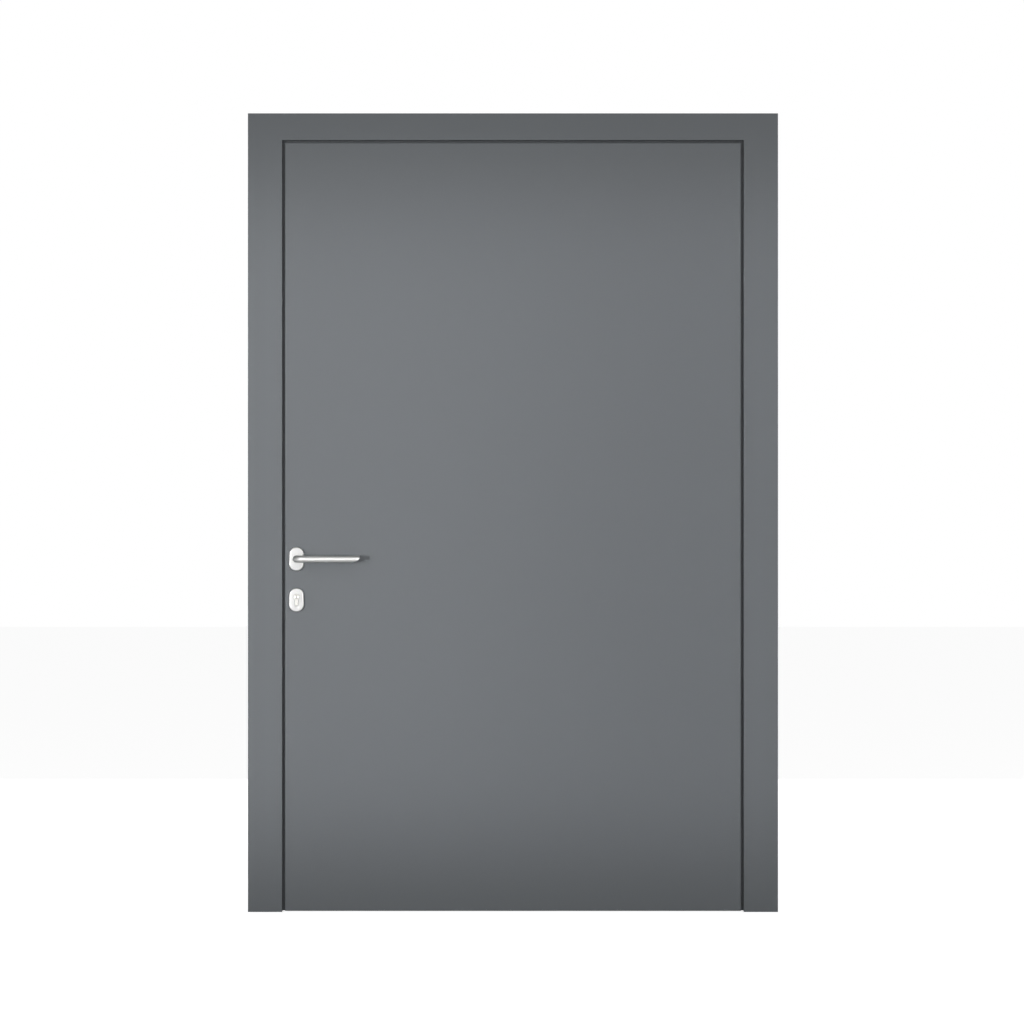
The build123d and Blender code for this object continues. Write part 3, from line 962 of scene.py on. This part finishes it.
hinge_plate_depth = 0.005
hinge_plate_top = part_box("leaf_inner_panel")[1].y + hinge_plate_depth
head_sink = 0.0004
row_rise = 0.046
near_column = 0.011
far_column = 0.033
screw_sizes = {
    "Head radius": 0.0052, "Head height": 0.0012, "Socket radius": 0.0023,
    "Socket depth": 0.0020,
}
towards_room = (radians(-90), 0.0, 0.0)
towards_lock = (0.0, radians(-90), 0.0)
towards_hinge = (0.0, radians(90), 0.0)
for body, part, side in (("frame", "frame_part", 1), ("leaf", "leaf_part", -1)):
    places = []
    for number in (1, 2, 3):
        places += plate_screws(
            number, part, hinge_plate_top - head_sink, row_rise, near_column, far_column, side
        )
    carried(
        f"hinge_screws_{body}", places, screws,
        {**screw_sizes, "Turn": towards_room, "Finish": finishes["lock_steel"]},
        body,
    )

# %% [markdown]
# ## Screws in the edge plates
# The faceplate on the leaf and the strike plate on the jamb are each held by two screws, at their
# round ends. A third screw in the faceplate, level with the cylinder, keeps the cylinder from
# sliding out. The same tree makes them, with a smaller head.

# %% Edge screws
low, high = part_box("lock_faceplate")
edge_sizes = {**screw_sizes, "Head radius": 0.0042, "Socket radius": 0.0019}
middle_y = (low.y + high.y) / 2
end_distance = 0.011
edge_sink = 0.0002
cylinder_screw_drop = 0.0155
face_places = [
    (low.x + edge_sink, middle_y, low.z + end_distance),
    (low.x + edge_sink, middle_y, high.z - end_distance),
    (low.x + edge_sink, middle_y, barrel_height - cylinder_screw_drop),
]
carried(
    "faceplate_screws", face_places, screws,
    {**edge_sizes, "Turn": towards_lock, "Finish": finishes["lock_steel"]}, "leaf",
)
low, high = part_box("strike_plate")
strike_places = [
    (high.x - edge_sink, middle_y, low.z + end_distance),
    (high.x - edge_sink, middle_y, high.z - end_distance),
]
carried(
    "strike_screws", strike_places, screws,
    {**edge_sizes, "Turn": towards_hinge, "Finish": finishes["lock_steel"]},
    "frame",
)

# %% [markdown]
# ## The lever's grub screw
# The inside lever is clamped on its spindle by one small grub screw under its neck. It is the same
# shape as the other screws, only smaller and turned downwards, so the same tree makes it from one
# point.

# %% Grub screw
grub_from_rosette = 0.007
grub_sink = 0.0003
grub_place = (
    lever_middle.x,
    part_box("rosette_inside")[1].y + grub_from_rosette,
    lever_middle.z - lever_radius + grub_sink,
)
carried(
    "lever_grub_screw", [grub_place], screws,
    {
        "Head radius": 0.0020, "Head height": 0.0010, "Socket radius": 0.0011,
        "Socket depth": 0.0016, "Turn": (radians(180), 0.0, 0.0),
        "Finish": finishes["lock_steel"],
    },
    "lever_set",
)

# %% [markdown]
# ## Hinge washers
# Between the knuckles of each hinge lies a thin polyamide washer, so that metal never rubs on
# metal. Six flat rings repeat, so a second small tree sweeps a rectangle round a circle on every
# point, with its three sizes as inputs.


# %% Washers between the knuckles
def washer_tree():
    """A flat ring on every point: a rectangle swept round a circle."""
    tree = node_group("washers", [
        ("Ring radius", "NodeSocketFloat"), ("Ring width", "NodeSocketFloat"),
        ("Ring height", "NodeSocketFloat"), ("Finish", "NodeSocketMaterial"),
    ])
    given = tree.nodes.new("NodeGroupInput").outputs
    circle = add(tree, "GeometryNodeCurvePrimitiveCircle", {}, {
        "Resolution": washer_steps, "Radius": given["Ring radius"],
    })
    profile = add(tree, "GeometryNodeCurvePrimitiveQuadrilateral", {}, {
        "Width": given["Ring width"], "Height": given["Ring height"],
    })
    ring = add(tree, "GeometryNodeCurveToMesh", {}, {
        "Curve": circle.outputs["Curve"], "Profile Curve": profile.outputs["Curve"],
    })
    copies = add(tree, "GeometryNodeInstanceOnPoints", {}, {
        "Points": given["Geometry"], "Instance": ring.outputs["Mesh"],
    })
    real = add(tree, "GeometryNodeRealizeInstances", {}, {
        "Geometry": copies.outputs["Instances"],
    })
    painted = add(tree, "GeometryNodeSetMaterial", {}, {
        "Geometry": real.outputs["Geometry"], "Material": given["Finish"],
    })
    out = tree.nodes.new("NodeGroupOutput")
    tree.links.new(painted.outputs["Geometry"], out.inputs["Geometry"])
    return tree


washer_steps = 64
middle_knuckle = 0.046
knuckle_gap = 0.0006
washer_places = []
for number in (1, 2, 3):
    axis = centre_of(f"hinge_{number}_pin")
    middle_z = centre_of(f"hinge_{number}_leaf_part").z
    for side in (-1, 1):
        rise = side * (middle_knuckle + knuckle_gap) / 2
        washer_places.append((axis.x, axis.y, middle_z + rise))
washers = carried(
    "hinge_washers", washer_places, washer_tree(),
    {
        "Ring radius": 0.0079, "Ring width": 0.0054, "Ring height": 0.0005,
        "Finish": finishes["polyamide"],
    },
    "frame",
)
print("washers reach:", [round(v, 4) for v in washers.dimensions])

# %% [markdown]
# ## A pale floor
# The floor is a plain pale sheet. For the camera it glows a little, so that it reads as the
# photograph's white ground, yet it still takes the door's shadow. More light would whiten it too,
# but it would also wash out the door. What the metal mirrors is dimmer than what the camera sees,
# and that gives the round lever its grey edges.


# %% Pale floor
def ray_share(tree, ray, share):
    """A Shade that holds a share for one kind of ray and nothing for the others."""
    path = tree.nodes.new("ShaderNodeLightPath")
    return Shade(tree, path.outputs[ray]) * share


def pale_floor():
    """A large sheet under the door, with its faces up."""
    signs = ((-1, -1), (1, -1), (1, 1), (-1, 1))
    corners = [(x * floor_reach, y * floor_reach, floor_level) for x, y in signs]
    mesh = bpy.data.meshes.new("floor")
    mesh.from_pydata(corners, [], [(0, 1, 2, 3)])
    floor = bpy.data.objects.new("floor", mesh)
    scene.collection.objects.link(floor)
    material = bpy.data.materials.new("pale_floor")
    material.use_nodes = True
    tree = material.node_tree
    tree.nodes.clear()
    glow = (
        ray_share(tree, "Is Camera Ray", floor_glow)
        + ray_share(tree, "Is Glossy Ray", floor_mirrored)
    )
    matte = glow.node("ShaderNodeBsdfDiffuse", {}, {"Color": grey(floor_colour)})
    bright = glow.node("ShaderNodeEmission", {}, {"Strength": glow})
    both = glow.node("ShaderNodeAddShader", {}, {0: matte, 1: bright})
    output = tree.nodes.new("ShaderNodeOutputMaterial")
    tree.links.new(both.socket, output.inputs["Surface"])
    dress(floor, material)
    return floor


floor_reach = 30.0
floor_level = -0.0005
floor_colour = 0.6
floor_glow = 0.90
floor_mirrored = 0.40
print("floor material:", pale_floor().data.materials[0].name)

# %% [markdown]
# ## White surroundings
# A studio has white paper behind the object. Here the world is white only for the camera. It is
# dim in reflections and dimmer still as light, so the lamps decide most of the door's shading.


# %% White surroundings
def surroundings(ambient, mirrored):
    """White where the camera looks, dim in a reflection, and dimmer still as light."""
    world = bpy.data.worlds.new("surroundings")
    scene.world = world
    world.use_nodes = True
    tree = world.node_tree
    tree.nodes.clear()
    strength = (
        ray_share(tree, "Is Camera Ray", 1.0 - ambient)
        + ray_share(tree, "Is Glossy Ray", mirrored - ambient) + ambient
    )
    light = strength.node("ShaderNodeBackground", {}, {"Color": grey(1.0), "Strength": strength})
    output = tree.nodes.new("ShaderNodeOutputWorld")
    tree.links.new(light.socket, output.inputs["Surface"])


ambient_level = 0.10
mirrored_level = 0.30
surroundings(ambient_level, mirrored_level)
print("surroundings:", ambient_level, "as light,", mirrored_level, "in reflections")

# %% [markdown]
# ## Soft lamps
# A broad screen in front gives plates and lever something white to mirror. Narrower lamps stand
# level with the door's middle, left and right of the camera, and grids keep their light off the
# door's head and foot, so it gets darker there. They stand far enough to the side that no flat
# plate throws them back at the camera. Two more of them and a second screen stand behind the door,
# for its other face.


# %% Soft lamps
def soft_lamp(name, place, target, width, height, watts, spread):
    """A rectangular soft light that faces a target, with a grid that narrows its beam."""
    data = bpy.data.lights.new(name, "AREA")
    data.shape = "RECTANGLE"
    data.size = width
    data.size_y = height
    data.energy = watts
    data.spread = radians(spread)
    lamp = bpy.data.objects.new(name, data)
    scene.collection.objects.link(lamp)
    lamp.location = place
    lamp.rotation_euler = (Vector(target) - Vector(place)).to_track_quat("-Z", "Y").to_euler()
    return lamp


middle_x = 0.75
beam_height = 1.11
beam_away = 5.35
beam_aside = 2.72
beam_size = (3.4, 1.9)
beam_spread = 6.5
left_front_x = -2.7
left_front_size = (1.6, 1.9)
left_front_watts = 1.84
left_front_spread = 11.0
screen_away = 6.0
screen_height = 3.0
screen_size = (14.0, 6.0)
screen_watts = 277.0
screen_spread = 180.0
soft_lamp(
    "left_front", (left_front_x, -beam_away, beam_height), (0.0, 0.0, beam_height),
    *left_front_size, left_front_watts, left_front_spread,
)
# Each beam's side of the middle, its side of the door, and its watts
beams = {
    "wide_left": (-1, -1, 4.19), "wide_right": (1, -1, 2.81),
    "back_left": (-1, 1, 4.2), "back_right": (1, 1, 4.2),
}
for name, (aside, away, watts) in beams.items():
    soft_lamp(
        name, (middle_x + aside * beam_aside, away * beam_away, beam_height),
        (middle_x, 0.0, beam_height), *beam_size, watts, beam_spread,
    )
for name, away in (("screen_front", -1), ("screen_back", 1)):
    soft_lamp(
        name, (middle_x, away * screen_away, screen_height), (middle_x, 0.0, screen_height),
        *screen_size, screen_watts, screen_spread,
    )
print("lamps:", len(bpy.data.lights))

# %% [markdown]
# ## The view
# The picture keeps Blender's Standard view, so a colour renders as it is written.

# %% View
scene.view_settings.view_transform = "Standard"
